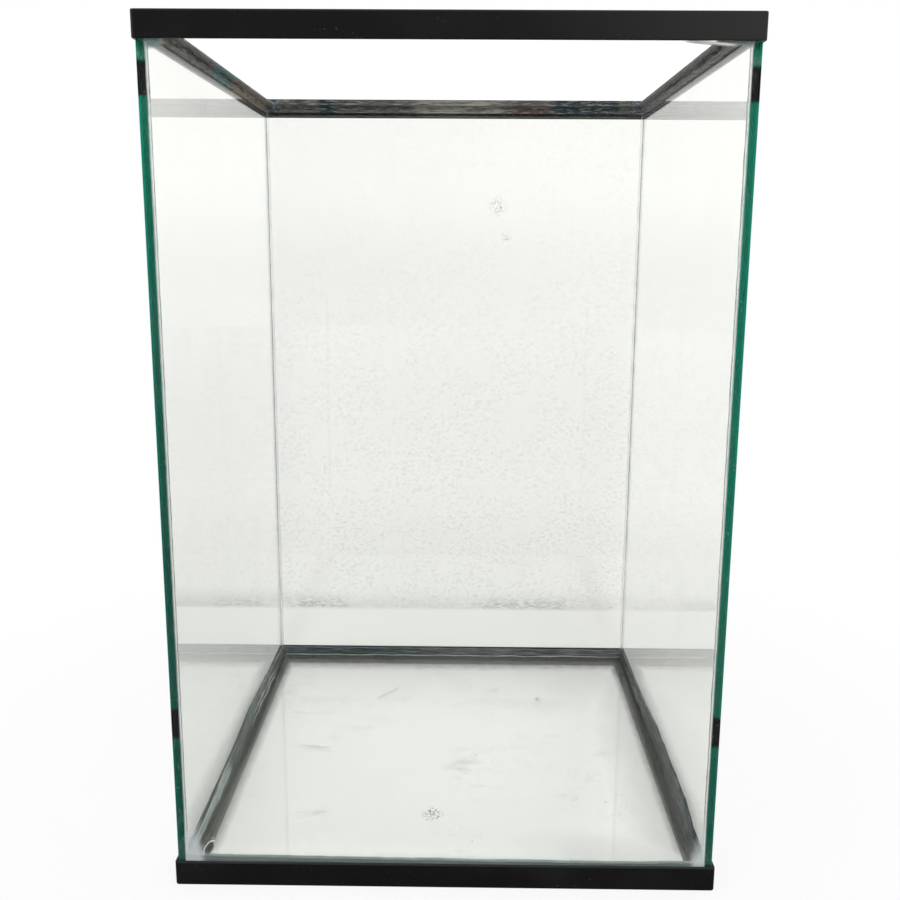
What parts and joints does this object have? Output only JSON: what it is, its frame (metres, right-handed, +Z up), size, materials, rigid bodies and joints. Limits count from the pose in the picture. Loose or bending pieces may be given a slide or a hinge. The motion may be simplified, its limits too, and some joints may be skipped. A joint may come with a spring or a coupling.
{
  "type": "glass aquarium",
  "caption": "Tall square rimmed glass aquarium, open at the top, with black plastic top and bottom frames, a recessed ledge for a cover and clear silicone seams.",
  "frame": {"origin": "middle of the footprint, on the surface that the tank stands on", "axes": "+Z up, the tank's height; +X to the right seen from the front; the front pane faces -Y"},
  "size_m": [0.3338, 0.3338, 0.512],
  "materials": {
    "frame_plastic": "satin moulded black",
    "pane_glass": "clear float glass with a green edge",
    "clear_silicone": "clear cured silicone, slightly milky"
  },
  "bodies": {
    "root": {"back_pane": "pane_glass", "bottom_frame": "frame_plastic", "bottom_frame_bond": "clear_silicone", "bottom_pane": "pane_glass", "corner_bond_back_left": "clear_silicone", "corner_bond_back_right": "clear_silicone", "corner_bond_front_left": "clear_silicone", "corner_bond_front_right": "clear_silicone", "corner_seal_back_left": "clear_silicone", "corner_seal_back_right": "clear_silicone", "corner_seal_front_left": "clear_silicone", "corner_seal_front_right": "clear_silicone", "floor_bed": "clear_silicone", "floor_bond_back": "clear_silicone", "floor_bond_front": "clear_silicone", "floor_bond_left": "clear_silicone", "floor_bond_right": "clear_silicone", "floor_seal_back": "clear_silicone", "floor_seal_front": "clear_silicone", "floor_seal_left": "clear_silicone", "floor_seal_right": "clear_silicone", "front_pane": "pane_glass", "left_pane": "pane_glass", "right_pane": "pane_glass", "top_frame": "frame_plastic", "top_frame_bond": "clear_silicone"}
  },
  "joints": []
}
